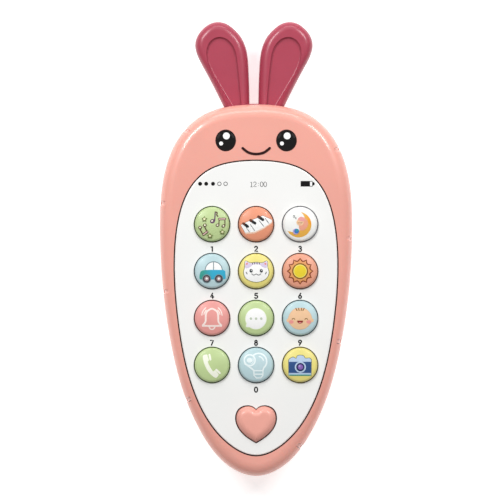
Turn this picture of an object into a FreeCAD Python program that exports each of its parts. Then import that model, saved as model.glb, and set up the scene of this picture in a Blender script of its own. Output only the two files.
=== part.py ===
import FreeCAD, Part
import math
import os

from FreeCAD import Vector

# Toy phone for a small child: a carrot-shaped case with rabbit ears, twelve round keys and a heart key.
#
# Millimetres. +X is to the right of the face, +Y towards the ears, +Z out of the face. The case lies on
# its flat back at z = 0, and the origin is under the middle of its length and width.
# Each function makes one sub-part in its place and the table at the end writes them to parts/.

# ---- driving dimensions -------------------------------------------------------------------------

# Right half of the case's outline and of the face recess, from the top point to the bottom point.
CASE_HALF = [
    (0, 57.1), (12.0, 56.1), (21.6, 52.6), (28.8, 46.4), (34.0, 37.4), (37.1, 25.5), (38.1, 8.0),
    (36.9, -15.5), (33.9, -36.5), (28.9, -56.5), (21.6, -73.0), (11.6, -85.4), (0, -90.0),
]
RECESS_HALF = [
    (0, 35.2), (11.0, 34.2), (19.2, 31.2), (25.6, 25.2), (30.0, 15.6), (32.2, 3.0), (32.5, -12.0),
    (30.9, -30.0), (27.5, -48.0), (21.6, -63.8), (12.6, -75.9), (0, -82.0),
]

# Levels through the thickness, from the back to the face.
SPLIT = 13.5            # where the two case halves meet
FACE = 24.6             # the case's front surface
RECESS_FLOOR = 23.0     # the white panel lies on this
PANEL_TOP = 24.2
PANEL_GAP, PANEL_ROUND = 0.35, 0.6
PLATE_BOTTOM = 21.0     # underside of the key plate
BOARD_TOP = 16.1
BOARD_THICK = 1.2
MAT_THICK = 0.8

WALL = 2.0
BACK_WALL = 2.2
FACE_ROUND = 5.2
BACK_ROUND = 6.5
LIP = 1.2               # height of the tongue that locates the halves
SEAM = 0.3              # chamfer that makes the parting line show
TONGUE_PLAY = 0.08
ROOT = 0.5              # how far ribs and pins run into the wall that they stand on

# Keys.
COLUMN = 17.38
ROW = 18.53
FIRST_ROW = 9.7
KEY_RADIUS = 6.8
KEY_SKIRT = 7.08        # a step in the key just under the panel's surface
KEY_HOLE = 7.25
KEY_FLANGE = 7.9
KEY_EDGE = 24.9         # where the rounded rim of the key starts
KEY_RIM = 1.2           # radius of that rim
KEY_SLOPE = 17.0        # slope of the domed top where it meets the rim, in degrees
KEY_STEP = 23.7
FLANGE_TOP = 20.8
FLANGE_THICK = 1.0
PLUNGER_RADIUS = 2.4
PLUNGER_BOTTOM = 18.75
KEY_WALL = 1.3
DOME_TOP = 18.7
LENS_RADIUS, LENS_HEIGHT = 1.5, 2.6
GUIDE_PIN, PIN_PLAY = 0.55, 0.2
PIN_REACH = KEY_FLANGE - 0.5

HEART_CENTRE = -69.3
# Right half of the heart key, about its own centre, from the notch round to the point.
HEART_HALF = [(0, 5.7), (3.5, 7.1), (6.7, 5.65), (7.85, 2.4), (6.8, -1.4), (4.1, -4.5), (0, -7.2)]
HEART_TOP = 26.4
HEART_ROUND = 3.0
HEART_HOLE = 1.055      # size of its hole against its own

# Ears, about their own middle line, which stands a little left of the case's.
EAR_MIDDLE = -0.85
EAR_LOW, EAR_HIGH = 9.2, 17.8
EAR_ROUND = 3.3
# Right ear's outline and its hollow's, from the inner foot over the top to the outer foot.
EAR = [
    (1.7, 50.5), (1.75, 60.0), (2.1, 71.0), (2.9, 78.5), (4.7, 83.3), (8.2, 87.4), (11.1, 89.35),
    (14.2, 90.0), (17.3, 89.35), (20.0, 87.5), (22.3, 84.6), (23.3, 81.0), (22.6, 77.2), (20.0, 71.9),
    (16.3, 65.0), (11.8, 56.0), (9.1, 50.5),
]
HOLLOW = [
    (4.4, 53.5), (5.4, 63.0), (6.5, 74.0), (7.8, 79.6), (10.5, 82.9), (13.9, 83.9),
    (17.3, 82.2), (18.8, 78.6), (17.9, 72.8), (14.7, 66.4), (9.1, 57.0), (7.2, 53.5),
]
HOLLOW_DEPTH, HOLLOW_ROUND = 1.1, 0.7
NECK_HALF = 13.0        # half the width of the neck that passes the case wall
NECK_RIDGE = 5.0        # half the width of the part that shows between the ears
BRIDGE_HALF, BRIDGE_LOW, BRIDGE_HIGH = 17.0, 45.5, 51.0
PIN_SPACING, PIN_Y, PIN_RADIUS = 13.0, 48.2, 1.5
NECK_STEP = 0.15        # the neck is this much thinner on each side than the ears
EAR_SLOT_END = 60.0     # beyond the top of the case
EAR_GAP = 0.2           # play of the neck in the case
EAR_STOPS = (-9.0, 8.0) # ribs in the front half that hold the bridge down
STOP_HALF, STOP_LOW, STOP_HIGH, STOP_GAP = 0.6, 47.0, 55.0, 0.3

# Fasteners.
CASE_SCREWS = [(24.2, 42.5), (-24.2, 42.5), (28.0, -18.1), (-28.0, -18.1), (0, -82.2)]
BOARD_SCREWS = [(12.0, 24.5), (-12.0, 24.5), (COLUMN / 2, -36.6), (-COLUMN / 2, -36.6)]
COUNTERBORE = 4.0       # depth of the holes for the case screws' heads
CASE_BOSS, CASE_POST, CASE_HEAD_HOLE, CASE_PILOT, CASE_PILOT_DEPTH = 2.8, 3.4, 2.9, 1.35, 6.5
BOARD_BOSS, BOARD_PILOT, BOARD_PILOT_DEPTH = 2.3, 0.95, 4.2
SHANK_PASS = 1.6        # radius of the hole that a case screw's shank passes through
BOARD_PASS = 1.2        # and of the one through the circuit board
SCREW_NOTCH = 3.4       # radius of the bite that leaves room for a case screw's post

# Battery bay: three cells side by side, and the door over them.
CELL_RADIUS, CELL_LENGTH, CELL_NUB = 5.15, 43.4, 1.1
CELL_PITCH = 11.2
CELL_Z = 7.6
SPRING_RADIUS, SPRING_WIRE, SPRING_TURNS, SPRING_CORNERS = 3.3, 0.3, 3, 10
BAY_HALF, BAY_LOW, BAY_HIGH = 17.0, -15.0, 36.0
BAY_CEILING = 12.9
BAY_WALL = 1.2
DOOR_HALF, DOOR_LOW, DOOR_HIGH = 18.6, -18.2, 45.0
DOOR_THICK = 1.8
DOOR_GAP = 0.25
DOOR_CORNER, POCKET_CORNER = 4.2, 3.0   # the door's corners clear the pocket's as it tips
DOOR_SCREW = (0, 40.6)
DOOR_TABS = (-10.0, 10.0)
LEDGE = 1.9             # underside of the ledge that the door lies against
TAB_HALF = 3.0
TAB_REACH, TAB_ROOT, TAB_LOW, TAB_HIGH = 2.0, 2.4, 2.0, 3.1
TAB_POCKET_TOP = 4.7
DOOR_SEAT = 2.5         # where the door screw's head sits
DOOR_SILL = 1.8         # width of the thick rim round the door
DOOR_POST, DOOR_HEAD_HOLE, DOOR_BOSS_HOLE = 4.9, 2.9, 3.9
DOOR_BOSS, DOOR_BOSS_TOP, DOOR_SHANK_HOLE = 3.6, 4.2, 1.25
DOOR_PILOT, DOOR_PILOT_TOP, DOOR_POST_TOP = 1.4, 8.8, 9.6
RIB_HALF, RIB_TOP, RIB_INSET = 0.5, 3.6, 6.0
GRIP_HALF, GRIP_ROWS, GRIP_WIDTH, GRIP_DEPTH = 6.0, (30.0, 32.0, 34.0), 0.8, 0.35

# Speaker and switch.
SPEAKER_Y, SPEAKER_RADIUS = -51.0, 14.0
WIRE_RADIUS = 0.45
GRILLE_RADIUS, GRILLE_SLOT, GRILLE_PITCH = 10.4, 1.5, 3.2
SWITCH_Y = -26.5
SWITCH_TRAVEL = 4.0
KNOB_HALF, KNOB_SIDE = 2.3, 1.6
KNOB_GROOVES = (-1.4, -0.5, 0.4, 1.3)
KNOB_GAP = 0.2
SWITCH_DISH_X, SWITCH_DISH_Y, SWITCH_DISH_DEPTH = 7.4, 2.6, 1.0
SWITCH_X, SWITCH_LOW_SIDE, SWITCH_HIGH_SIDE = 6.5, 4.6, 3.9
SWITCH_FLOOR, SWITCH_TOP = 4.6, 8.2
CRADLE_X = 9.5          # half the length of the ribs that hold the switch

# Places of the wrinkles that a carrot has: side of the case and height along it.
WRINKLES = [(-1, 47.2), (-1, 18.0), (-1, -17.1), (-1, -60.0), (1, 39.6), (1, 4.0), (1, -36.8), (1, -78.5)]
WRINKLE_RADIUS, WRINKLE_DEPTH = 1.0, 0.75
WRINKLE_LOW = 9.0
WRINKLE_WRAP = 45.0     # degrees that a wrinkle runs over the shoulder

CLEAR = 1.0             # how far a cutter runs past a face
KEY_NAMES = [
    ["button_1", "button_2", "button_3"],
    ["button_4", "button_5", "button_6"],
    ["button_7", "button_8", "button_9"],
    ["button_call", "button_0", "button_camera"],
]


# ---- helpers ------------------------------------------------------------------------------------

def box(x, y, z):
    """A box from three (low, high) pairs."""
    return Part.makeBox(x[1] - x[0], y[1] - y[0], z[1] - z[0], Vector(x[0], y[0], z[0]))


def rod(x, y, radius, low, high):
    return Part.makeCylinder(radius, high - low, Vector(x, y, low))


def fuse(shapes):
    first, *rest = shapes
    return first.multiFuse(rest).removeSplitter() if rest else first


def mirrored(half):
    """A closed loop of points, clockwise, from its right half."""
    return half + [(-x, y) for x, y in reversed(half) if x > 0]


def smooth_loop(points):
    curve = Part.BSplineCurve()
    curve.interpolate(Points=[Vector(x, y, 0) for x, y in points], PeriodicFlag=True)
    return curve


def frame_at(curve, share):
    """Point and outward normal at a share of the way round a clockwise loop."""
    u = curve.FirstParameter + share * (curve.LastParameter - curve.FirstParameter)
    tangent = curve.tangent(u)[0]
    return curve.value(u), Vector(-tangent.y, tangent.x, 0)


def offset_loop(curve, distance, count=48):
    """The loop moved outwards by distance."""
    frames = [frame_at(curve, k / count) for k in range(count)]
    moved = [p + n * distance for p, n in frames]
    return smooth_loop([(p.x, p.y) for p in moved])


def prism(outline, low, high):
    """A solid between two heights, from a curve or a wire in the plane z = 0."""
    wire = outline if isinstance(outline, Part.Wire) else Part.Wire(outline.toShape())
    face = Part.Face(wire)
    face.translate(Vector(0, 0, low))
    return face.extrude(Vector(0, 0, high - low))


def edges_at(shape, z):
    """The edges that lie in one horizontal plane."""
    return [e for e in shape.Edges if all(abs(v.Z - z) < 1e-4 for v in e.Vertexes)
            and abs(e.valueAt((e.FirstParameter + e.LastParameter) / 2).z - z) < 1e-4]


def rounded(shape, z, radius):
    return shape.makeFillet(radius, edges_at(shape, z))


def rounded_box(x, y, z, radius):
    """A box whose upright edges are rounded."""
    solid = box(x, y, z)
    upright = [e for e in solid.Edges if abs(e.Vertexes[0].Z - e.Vertexes[1].Z) > 1e-6]
    return solid.makeFillet(radius, upright)


def dome(radius, edge, top):
    """An arc for turned(), from (radius, edge) to the axis at top, on a sphere centred on the axis."""
    rise = top - edge
    sphere = (radius ** 2 + rise ** 2) / (2 * rise)
    fall = sphere - math.copysign(math.sqrt(sphere ** 2 - (radius / 2) ** 2), sphere)
    return radius / 2, top - fall, 0, top


def turned(points, axis_x, axis_y):
    """A solid turned about an upright axis, from (radius, z) points.

    Four numbers instead of two are the middle and the end of an arc.
    """
    edges = []
    at = points[0]
    for p in points[1:] + points[:1]:
        if len(p) == 4:
            ends = [Vector(at[0], 0, at[1]), Vector(p[0], 0, p[1]), Vector(p[2], 0, p[3])]
            edges.append(Part.Arc(*ends).toShape())
            at = p[2:]
        elif math.dist(at, p) > 1e-6:
            edges.append(Part.LineSegment(Vector(at[0], 0, at[1]), Vector(p[0], 0, p[1])).toShape())
            at = p
    solid = Part.Face(Part.Wire(edges)).revolve(Vector(0, 0, 0), Vector(0, 0, 1), 360)
    solid.translate(Vector(axis_x, axis_y, 0))
    return solid


def key_place(row, column):
    return (column - 1) * COLUMN, FIRST_ROW - row * ROW


def heart_wire(scale=1.0):
    """The heart's outline, with its notch and its point left sharp."""
    points = [Vector(x * scale, y * scale + HEART_CENTRE, 0) for x, y in HEART_HALF]
    right = Part.BSplineCurve()
    right.interpolate(points)
    left = Part.BSplineCurve()
    left.interpolate([Vector(-p.x, p.y, 0) for p in reversed(points)])
    return Part.Wire([right.toShape(), left.toShape()])


CASE = smooth_loop(mirrored(CASE_HALF))
RECESS = smooth_loop(mirrored(RECESS_HALF))
KEYS = {name: key_place(r, c) for r, names in enumerate(KEY_NAMES) for c, name in enumerate(names)}
LED_PLACES = [(COLUMN / 2, FIRST_ROW - ROW / 2), (-COLUMN / 2, FIRST_ROW - ROW / 2)]


# ---- case ---------------------------------------------------------------------------------------

def wrinkle(side, height):
    """A groove that runs up the side wall and over the shoulder of the face."""
    frames = [frame_at(CASE, k / 2000) for k in range(2000)]
    point, normal = min((f for f in frames if f[0].x * side > 0), key=lambda f: abs(f[0].y - height))
    reach = WRINKLE_RADIUS - WRINKLE_DEPTH
    bend = FACE - FACE_ROUND
    ring = Part.Wire(Part.makeCircle(WRINKLE_RADIUS, Vector(reach, 0, bend), Vector(0, 0, 1)))
    over = Part.Face(ring).revolve(Vector(-FACE_ROUND, 0, bend), Vector(0, -1, 0), WRINKLE_WRAP)
    turn = math.radians(WRINKLE_WRAP)
    tip = Vector(-FACE_ROUND + (FACE_ROUND + reach) * math.cos(turn), 0,
                 bend + (FACE_ROUND + reach) * math.sin(turn))
    cutter = fuse([
        over,
        rod(reach, 0, WRINKLE_RADIUS, WRINKLE_LOW, bend),
        Part.makeSphere(WRINKLE_RADIUS, Vector(reach, 0, WRINKLE_LOW)),
        Part.makeSphere(WRINKLE_RADIUS, tip),
    ])
    cutter.rotate(Vector(0, 0, 0), Vector(0, 0, 1), math.degrees(math.atan2(normal.y, normal.x)))
    cutter.translate(point)
    return cutter


def ear_slot():
    """The opening in the top wall that the ears' neck passes through."""
    half = NECK_HALF + EAR_GAP
    return box((EAR_MIDDLE - half, EAR_MIDDLE + half), (BRIDGE_HIGH, EAR_SLOT_END),
               (EAR_LOW - EAR_GAP, EAR_HIGH + EAR_GAP))


def hollow_loop():
    return offset_loop(CASE, -WALL)


def mid_wall_loop():
    """Halfway through the case wall: ribs and bosses stop here, inside the wall."""
    return offset_loop(CASE, -WALL / 2)


def tongue(grow):
    """The ring that stands up from the rear half's wall into the front half's."""
    outer = offset_loop(CASE, -WALL / 2 + grow)
    inner = offset_loop(CASE, -WALL - 0.05 - grow)
    low = SPLIT if grow else SPLIT - CLEAR
    return prism(outer, low, SPLIT + LIP + grow).cut(prism(inner, low - CLEAR, SPLIT + 2 * LIP))


def front_shell():
    outer = prism(CASE, SPLIT, FACE)
    outer = rounded(outer, FACE, FACE_ROUND)
    outer = outer.makeChamfer(SEAM, edges_at(outer, SPLIT))
    hollow = rounded(prism(hollow_loop(), SPLIT - CLEAR, PLATE_BOTTOM), PLATE_BOTTOM, WALL)
    core = rounded(prism(mid_wall_loop(), SPLIT, FACE - 1), FACE - 1, FACE_ROUND - 1)
    inside = [rod(x, y, CASE_BOSS, SPLIT, FACE - WALL) for x, y in CASE_SCREWS]
    inside += [rod(x, y, BOARD_BOSS, BOARD_TOP, PLATE_BOTTOM + ROOT) for x, y in BOARD_SCREWS]
    inside += [rod(x + PIN_REACH, y, GUIDE_PIN, PLUNGER_BOTTOM - ROOT, PLATE_BOTTOM + ROOT)
               for x, y in KEYS.values()]
    inside += [box((x - STOP_HALF, x + STOP_HALF), (STOP_LOW, STOP_HIGH),
                   (EAR_HIGH + STOP_GAP, PLATE_BOTTOM + ROOT)) for x in EAR_STOPS]
    shell = fuse([outer.cut(hollow)] + [piece.common(core) for piece in inside])
    cutters = [tongue(TONGUE_PLAY), ear_slot(), prism(RECESS, RECESS_FLOOR, FACE + CLEAR)]
    cutters += [rod(x, y, KEY_HOLE, PLUNGER_BOTTOM - CLEAR, FACE) for x, y in KEYS.values()]
    cutters += [prism(heart_wire(HEART_HOLE), PLATE_BOTTOM - CLEAR, FACE)]
    cutters += [rod(x, y, CASE_PILOT, SPLIT - CLEAR, SPLIT + CASE_PILOT_DEPTH) for x, y in CASE_SCREWS]
    cutters += [rod(x, y, BOARD_PILOT, BOARD_TOP - CLEAR, BOARD_TOP + BOARD_PILOT_DEPTH)
                for x, y in BOARD_SCREWS]
    cutters += [wrinkle(*place) for place in WRINKLES]
    return shell.cut(cutters)


def rear_shell():
    outer = rounded(prism(CASE, 0, SPLIT), 0, BACK_ROUND)
    outer = outer.makeChamfer(SEAM, edges_at(outer, SPLIT))
    hollow = rounded(prism(hollow_loop(), BACK_WALL, SPLIT + CLEAR), BACK_WALL, BACK_ROUND - WALL)
    core = rounded(prism(mid_wall_loop(), BACK_WALL / 2, SPLIT), BACK_WALL / 2, BACK_ROUND - WALL / 2)
    sill = DOOR_HALF + DOOR_SILL
    inside = [rod(x, y, CASE_POST, 0, SPLIT) for x, y in CASE_SCREWS]
    inside += [
        box((-BAY_HALF - BAY_WALL, BAY_HALF + BAY_WALL), (BAY_LOW - BAY_WALL, BAY_HIGH + BAY_WALL),
            (0, SPLIT)),
        box((-sill, sill), (DOOR_LOW - 4.2, DOOR_HIGH + 1.6), (0, 3.5)),
        box((-sill, sill), (DOOR_LOW - 4.2, DOOR_LOW + 1.6), (0, 5.6)),
        rod(*DOOR_SCREW, DOOR_POST, 0, DOOR_POST_TOP),
        rod(0, SPEAKER_Y, SPEAKER_RADIUS + 1.5, 0, 6.0).cut(rod(0, SPEAKER_Y, SPEAKER_RADIUS + 0.2, 0, 7.0)),
        box((-CRADLE_X, CRADLE_X), (SWITCH_Y - 4.9, SWITCH_Y - 3.2), (0, SWITCH_FLOOR)),
        box((-CRADLE_X, CRADLE_X), (SWITCH_Y + 3.2, SWITCH_Y + 4.1), (0, SWITCH_FLOOR)),
    ]
    pins = [rod(EAR_MIDDLE + s * PIN_SPACING, PIN_Y, PIN_RADIUS, BACK_WALL / 2, EAR_HIGH - 1)
            for s in (-1, 1)]
    shell = fuse([outer.cut(hollow), tongue(0)] + [piece.common(core) for piece in inside] + pins)
    reach, side = KNOB_HALF + SWITCH_TRAVEL / 2 + KNOB_GAP, KNOB_SIDE + KNOB_GAP
    cutters = [
        ear_slot(),
        box((-BAY_HALF, BAY_HALF), (BAY_LOW, BAY_HIGH), (-CLEAR, BAY_CEILING)),
        rounded_box((-DOOR_HALF - DOOR_GAP, DOOR_HALF + DOOR_GAP),
                    (DOOR_LOW - DOOR_GAP, DOOR_HIGH + DOOR_GAP), (-CLEAR, LEDGE), POCKET_CORNER),
        rod(*DOOR_SCREW, DOOR_BOSS_HOLE, -CLEAR, DOOR_BOSS_TOP + 0.2),
        rod(*DOOR_SCREW, DOOR_PILOT, DOOR_BOSS_TOP - 0.2, DOOR_PILOT_TOP),
        rounded_box((-SWITCH_DISH_X, SWITCH_DISH_X), (SWITCH_Y - SWITCH_DISH_Y, SWITCH_Y + SWITCH_DISH_Y),
                    (-CLEAR, SWITCH_DISH_DEPTH), 1.5),
        rounded_box((-reach, reach), (SWITCH_Y - side, SWITCH_Y + side), (0, BACK_WALL + CLEAR), 0.6),
    ]
    cutters += [box((x - TAB_HALF - 0.3, x + TAB_HALF + 0.3),
                    (DOOR_LOW - TAB_REACH - 0.5, DOOR_LOW + TAB_ROOT + 0.9), (LEDGE, TAB_POCKET_TOP))
                for x in DOOR_TABS]
    cutters += [rod(x, y, CASE_HEAD_HOLE, -CLEAR, COUNTERBORE) for x, y in CASE_SCREWS]
    cutters += [rod(x, y, SHANK_PASS, 0, SPLIT + CLEAR) for x, y in CASE_SCREWS]
    cutters += grille_slots()
    cutters += [wrinkle(*place) for place in WRINKLES]
    return shell.cut(cutters)


def grille_slots():
    """Slots with round ends that fill a circle in front of the speaker."""
    slots = []
    for k in range(-3, 4):
        y = SPEAKER_Y + k * GRILLE_PITCH
        half = math.sqrt(GRILLE_RADIUS ** 2 - (k * GRILLE_PITCH) ** 2) - GRILLE_SLOT / 2
        slots.append(rounded_box((-half - GRILLE_SLOT / 2, half + GRILLE_SLOT / 2),
                                 (y - GRILLE_SLOT / 2, y + GRILLE_SLOT / 2),
                                 (-CLEAR, BACK_WALL + CLEAR), GRILLE_SLOT / 2 - 0.01))
    return slots


def face_panel():
    """The white front plate with a hole for every key."""
    plate = rounded(prism(offset_loop(RECESS, -PANEL_GAP), RECESS_FLOOR, PANEL_TOP), PANEL_TOP, PANEL_ROUND)
    holes = [rod(x, y, KEY_HOLE, RECESS_FLOOR - CLEAR, FACE) for x, y in KEYS.values()]
    holes.append(prism(heart_wire(HEART_HOLE), RECESS_FLOOR - CLEAR, FACE))
    return plate.cut(holes)


# ---- ears ---------------------------------------------------------------------------------------

def open_wire(points):
    """A smooth line through the points, closed by a straight one."""
    vectors = [Vector(x, y, 0) for x, y in points]
    curve = Part.BSplineCurve()
    curve.interpolate(vectors)
    return Part.Wire([curve.toShape(), Part.LineSegment(vectors[-1], vectors[0]).toShape()])


def ear_teether():
    """Both ears and the bridge that holds them in the case, moulded in one piece."""
    ear = prism(open_wire(EAR), EAR_LOW, EAR_HIGH)
    long_edges = [e for z in (EAR_LOW, EAR_HIGH) for e in edges_at(ear, z) if e.BoundBox.YMax > BRIDGE_HIGH]
    ear = ear.makeFillet(EAR_ROUND, long_edges)
    for low in (EAR_LOW - CLEAR, EAR_HIGH - HOLLOW_DEPTH):
        cutter = prism(open_wire(HOLLOW), low, low + HOLLOW_DEPTH + CLEAR)
        floor = low + HOLLOW_DEPTH + CLEAR if low < EAR_LOW else low
        ear = ear.cut(rounded(cutter, floor, HOLLOW_ROUND))
    pair = [ear, ear.mirror(Vector(0, 0, 0), Vector(1, 0, 0))]
    neck = [prism(offset_loop(CASE, reach), EAR_LOW + NECK_STEP, EAR_HIGH - NECK_STEP).common(
        box((-half, half), (BRIDGE_LOW, EAR_SLOT_END), (EAR_LOW, EAR_HIGH)))
        for half, reach in ((NECK_HALF, -0.1), (NECK_RIDGE, 0.35))]
    bridge = box((-BRIDGE_HALF, BRIDGE_HALF), (BRIDGE_LOW, BRIDGE_HIGH - 0.3), (EAR_LOW, EAR_HIGH))
    whole = fuse(pair + neck + [bridge])
    whole.translate(Vector(EAR_MIDDLE, 0, 0))
    holes = [rod(EAR_MIDDLE + s * PIN_SPACING, PIN_Y, PIN_RADIUS + 0.1, EAR_LOW - CLEAR, EAR_HIGH - 0.8)
             for s in (-1, 1)]
    return whole.cut(holes)


# ---- keys ---------------------------------------------------------------------------------------

def key_profile():
    """Section of a round key: domed cap, step under the panel, flange, and a plunger in its middle."""
    slope = math.radians(KEY_SLOPE)
    centre = KEY_RADIUS - KEY_RIM

    def on_rim(angle):
        return centre + KEY_RIM * math.cos(angle), KEY_EDGE + KEY_RIM * math.sin(angle)

    rim_end = on_rim(math.pi / 2 - slope)
    sphere = rim_end[0] / math.sin(slope)
    crown = rim_end[1] + sphere * (1 - math.cos(slope))
    return [
        (0, PLUNGER_BOTTOM), (PLUNGER_RADIUS, PLUNGER_BOTTOM),
        (PLUNGER_RADIUS, KEY_EDGE - KEY_WALL + 0.5), (KEY_RADIUS - KEY_WALL, KEY_EDGE - KEY_WALL + 0.1),
        (KEY_RADIUS - KEY_WALL, FLANGE_TOP - FLANGE_THICK), (KEY_FLANGE, FLANGE_TOP - FLANGE_THICK),
        (KEY_FLANGE, FLANGE_TOP), (KEY_SKIRT, FLANGE_TOP), (KEY_SKIRT, KEY_STEP),
        (KEY_RADIUS, KEY_STEP), (KEY_RADIUS, KEY_EDGE),
        (*on_rim((math.pi / 2 - slope) / 2), *rim_end), dome(*rim_end, crown),
    ]


def round_key(x, y):
    """One key; a slot in its flange rides on a pin of the case, so that its picture stays upright."""
    low, high, half = FLANGE_TOP - 2 * FLANGE_THICK, FLANGE_TOP + CLEAR, GUIDE_PIN + PIN_PLAY
    slot = rod(x + PIN_REACH, y, half, low, high)
    mouth = box((x + PIN_REACH, x + KEY_FLANGE + CLEAR), (y - half, y + half), (low, high))
    skirt = rod(x, y, KEY_SKIRT, FLANGE_TOP, KEY_STEP)
    return turned(key_profile(), x, y).cut([slot.cut(skirt), mouth])


def heart_button():
    cap = prism(heart_wire(1.0), KEY_STEP - 0.5, HEART_TOP)
    cap = rounded(cap, HEART_TOP, HEART_ROUND)
    skirt = prism(heart_wire(1.035), FLANGE_TOP - FLANGE_THICK, KEY_STEP)
    flange = prism(heart_wire(1.13), FLANGE_TOP - FLANGE_THICK, FLANGE_TOP)
    room = prism(heart_wire(0.82), FLANGE_TOP - 2 * FLANGE_THICK, KEY_EDGE - KEY_WALL)
    plunger = rod(0, HEART_CENTRE, PLUNGER_RADIUS, PLUNGER_BOTTOM, KEY_EDGE - 1)
    return fuse([fuse([cap, skirt, flange]).cut(room), plunger])


# ---- electronics --------------------------------------------------------------------------------

def dome_places():
    return list(KEYS.values()) + [(0, HEART_CENTRE)]


def keypad_mat():
    """Silicone sheet with a hollow dome under every key."""
    top = BOARD_TOP + MAT_THICK
    sheet = prism(offset_loop(RECESS, -5.0), BOARD_TOP, top)
    domes = [Part.makeCone(4.6, 3.0, DOME_TOP - top, Vector(x, y, top)) for x, y in dome_places()]
    rooms = [Part.makeCone(4.1, 2.7, 1.2, Vector(x, y, BOARD_TOP)) for x, y in dome_places()]
    cuts = [rod(x, y, 2.9, BOARD_TOP - CLEAR, top + CLEAR) for x, y in BOARD_SCREWS]
    cuts += [rod(x, y, 2.5, BOARD_TOP - CLEAR, top + CLEAR) for x, y in LED_PLACES]
    cuts += [rod(x, y, SCREW_NOTCH, BOARD_TOP - CLEAR, top + CLEAR) for x, y in CASE_SCREWS]
    return fuse([sheet] + domes).cut(rooms + cuts)


def main_board():
    low = BOARD_TOP - BOARD_THICK
    board = prism(offset_loop(RECESS, -4.5), low, BOARD_TOP)
    cuts = [rod(x, y, BOARD_PASS, low - CLEAR, BOARD_TOP + CLEAR) for x, y in BOARD_SCREWS]
    cuts += [rod(x, y, SCREW_NOTCH, low - CLEAR, BOARD_TOP + CLEAR) for x, y in CASE_SCREWS]
    return board.cut(cuts)


def sound_chip():
    """The drop of resin over the chip, on the underside of the board."""
    low = BOARD_TOP - BOARD_THICK
    return turned([(0, low), (5.5, low), dome(5.5, low, low - 1.6)], 0, -35.0)


def board_parts():
    """Resistors and a capacitor on the underside of the board."""
    low = BOARD_TOP - BOARD_THICK
    chips = [box((x, x + 2.0), (y, y + 1.2), (low - 0.6, low)) for x in (-15.0, -11.5, 9.5, 13.0)
             for y in (-32.0, -28.5)]
    can = rod(-12.0, -39.5, 2.5, low - 5.2, low)
    return Part.makeCompound(chips + [can])


def indicator_leds():
    """Two round lamps on the board, in the gaps between the keys."""
    leds = []
    for x, y in LED_PLACES:
        base = rod(x, y, 1.9, BOARD_TOP, BOARD_TOP + 1.0)
        stem = rod(x, y, LENS_RADIUS, BOARD_TOP, BOARD_TOP + LENS_HEIGHT)
        tip = Part.makeSphere(LENS_RADIUS, Vector(x, y, BOARD_TOP + LENS_HEIGHT))
        leds.append(fuse([base, stem.fuse(tip)]))
    return Part.makeCompound(leds)


def speaker_frame():
    """Pressed ring and basket, open at its front."""
    r = SPEAKER_RADIUS
    return turned([(r, BACK_WALL), (r, 3.4), (r - 2, 3.8), (9.7, 6.4), (9.7, 7.6), (3.4, 7.6), (3.4, 6.8),
                   (8.6, 6.6), (r - 3.2, 3.4), (r - 2.2, BACK_WALL)], 0, SPEAKER_Y)


def speaker_magnet():
    return turned([(0, 7.6), (7.6, 7.6), (7.6, 11.4), (7.2, 11.8), (0, 11.8)], 0, SPEAKER_Y)


def speaker_cone():
    """Thin diaphragm with a dust cap in its middle."""
    return turned([(10.6, 2.9), (10.6, 3.2), (4.6, 5.6), dome(4.6, 5.6, 4.4), (0, 4.1), (4.6, 5.2)],
                  0, SPEAKER_Y)


def lead(points, radius=WIRE_RADIUS):
    """One wire: straight runs joined by the largest arcs that the runs allow."""
    p = [Vector(*q) for q in points]
    edges, at = [], p[0]
    for before, corner, after in zip(p, p[1:], p[2:]):
        into, out = (corner - before).normalize(), (after - corner).normalize()
        half_turn = into.getAngle(out) / 2
        cut = 0.45 * min((corner - before).Length, (after - corner).Length)
        bend = cut / math.tan(half_turn)
        start, end = corner - into * cut, corner + out * cut
        middle = corner + (out - into).normalize() * (bend / math.cos(half_turn) - bend)
        edges.append(Part.LineSegment(at, start).toShape())
        edges.append(Part.Arc(start, middle, end).toShape())
        at = end
    edges.append(Part.LineSegment(at, p[-1]).toShape())
    ring = Part.Wire(Part.makeCircle(radius, p[0], p[1] - p[0]))
    return Part.Wire(edges).makePipeShell([ring], True, True)


def both_sides(make):
    """The same piece on the right and mirrored on the left."""
    right = make()
    return Part.makeCompound([right, right.mirror(Vector(0, 0, 0), Vector(1, 0, 0))])


def speaker_leads():
    underside = BOARD_TOP - BOARD_THICK
    return both_sides(lambda: lead([(8.7, SPEAKER_Y, 7.6), (8.7, SPEAKER_Y, 10.6),
                                    (10.8, SPEAKER_Y + 6, 11.8), (10.8, SPEAKER_Y + 6, underside)]))


def battery_leads():
    underside = BOARD_TOP - BOARD_THICK
    bay_end = BAY_LOW - BAY_WALL
    return both_sides(lambda: lead([(9.0, bay_end, 9.0), (9.0, bay_end - 3.6, 9.0),
                                    (9.0, bay_end - 3.6, underside)]))


def switch_leads():
    underside = BOARD_TOP - BOARD_THICK
    return both_sides(lambda: lead([(3.0, SWITCH_Y - 0.4, 8.2), (3.0, SWITCH_Y - 0.4, 10.4),
                                    (4.6, SWITCH_Y + 0.9, 12.7), (4.6, SWITCH_Y + 0.9, underside)]))


# ---- batteries ----------------------------------------------------------------------------------

def battery(index):
    """A cell along Y. The middle one is the other way round."""
    long = [(0, 0), (CELL_RADIUS - 0.5, 0), (CELL_RADIUS, 0.4), (CELL_RADIUS, CELL_LENGTH - 0.6),
            (CELL_RADIUS - 0.7, CELL_LENGTH), (1.9, CELL_LENGTH), (1.9, CELL_LENGTH + CELL_NUB),
            (0, CELL_LENGTH + CELL_NUB)]
    cell = turned(long, 0, 0)
    up = index != 1
    cell.rotate(Vector(0, 0, 0), Vector(1, 0, 0), -90 if up else 90)
    end = BAY_HIGH - 0.5 - CELL_LENGTH - CELL_NUB if up else BAY_LOW + 0.5 + CELL_LENGTH + CELL_NUB
    cell.translate(Vector((index - 1) * CELL_PITCH, end, CELL_Z))
    return cell


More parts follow.
